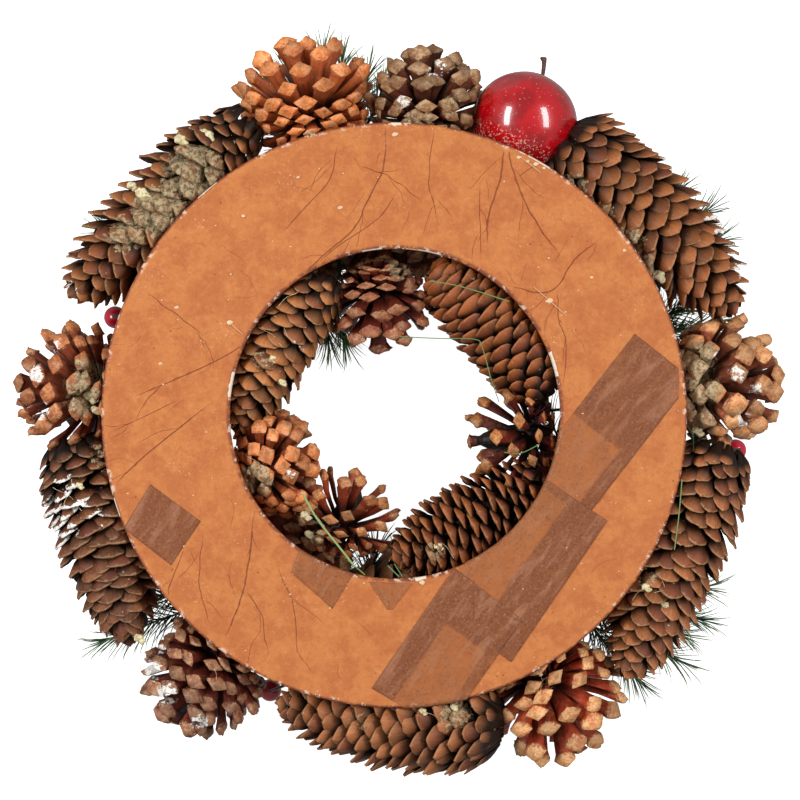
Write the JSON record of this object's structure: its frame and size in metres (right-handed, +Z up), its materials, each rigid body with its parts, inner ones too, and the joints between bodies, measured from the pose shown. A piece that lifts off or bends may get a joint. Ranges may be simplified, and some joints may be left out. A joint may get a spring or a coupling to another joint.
{
  "type": "pinecone wreath",
  "caption": "Ring wreath of spruce cones, open pine cones, red apples, berries and pine sprigs glued round a paper-wrapped foam ring, lying face down.",
  "frame": {"origin": "under the middle of the bounding box, on the surface that the wreath lies on, face down", "axes": "+Z up, out of the flat back of the ring; +Y towards the paired pine cones beside the outer apple; +X to the right, seen from behind"},
  "size_m": [0.4124, 0.3906, 0.0892],
  "materials": {
    "foam": "fine white bead foam",
    "craft_paper": "creased, matt, mottled",
    "parcel_tape": "thin brown film, wrinkled",
    "spruce_scale": "dry woody scales, paler lips",
    "pine_scale": "dry woody scales, frosted ends",
    "apple_skin": "lacquered red",
    "apple_stem": "rough",
    "needle": "soft cut film",
    "berry_skin": "lacquered red"
  },
  "bodies": {
    "root": {"foam_ring": "foam", "paper_cover": "craft_paper", "tape_patch_1": "parcel_tape", "tape_patch_2": "parcel_tape", "tape_patch_3": "parcel_tape", "tape_patch_4": "parcel_tape", "tape_patch_5": "parcel_tape", "tape_patch_6": "parcel_tape", "outer_spruce_cone_1": "spruce_scale", "outer_spruce_cone_2": "spruce_scale", "outer_spruce_cone_3": "spruce_scale", "outer_spruce_cone_4": "spruce_scale", "outer_spruce_cone_5": "spruce_scale", "inner_spruce_cone_1": "spruce_scale", "inner_spruce_cone_2": "spruce_scale", "inner_spruce_cone_3": "spruce_scale", "front_spruce_cone_1": "spruce_scale", "front_spruce_cone_2": "spruce_scale", "front_spruce_cone_3": "spruce_scale", "outer_pine_cone_1": "pine_scale", "outer_pine_cone_2": "pine_scale", "outer_pine_cone_3": "pine_scale", "outer_pine_cone_4": "pine_scale", "outer_pine_cone_5": "pine_scale", "outer_pine_cone_6": "pine_scale", "inner_pine_cone_1": "pine_scale", "inner_pine_cone_2": "pine_scale", "inner_pine_cone_3": "pine_scale", "inner_pine_cone_4": "pine_scale", "front_pine_cone_1": "pine_scale", "front_pine_cone_2": "pine_scale", "front_pine_cone_3": "pine_scale", "front_pine_cone_4": "pine_scale", "outer_apple": "apple_skin", "front_apple_1": "apple_skin", "front_apple_2": "apple_skin", "outer_apple_stem": "apple_stem", "front_apple_1_stem": "apple_stem", "front_apple_2_stem": "apple_stem", "pine_sprig_1": "needle", "pine_sprig_2": "needle", "pine_sprig_3": "needle", "pine_sprig_4": "needle", "pine_sprig_5": "needle", "pine_sprig_6": "needle", "pine_sprig_7": "needle", "pine_sprig_8": "needle", "pine_sprig_9": "needle", "pine_sprig_10": "needle", "berry_pick_1": "berry_skin", "berry_pick_2": "berry_skin", "berry_pick_3": "berry_skin", "berry_pick_4": "berry_skin", "berry_pick_5": "berry_skin", "berry_pick_6": "berry_skin", "berry_pick_7": "berry_skin", "berry_pick_8": "berry_skin"}
  },
  "joints": []
}
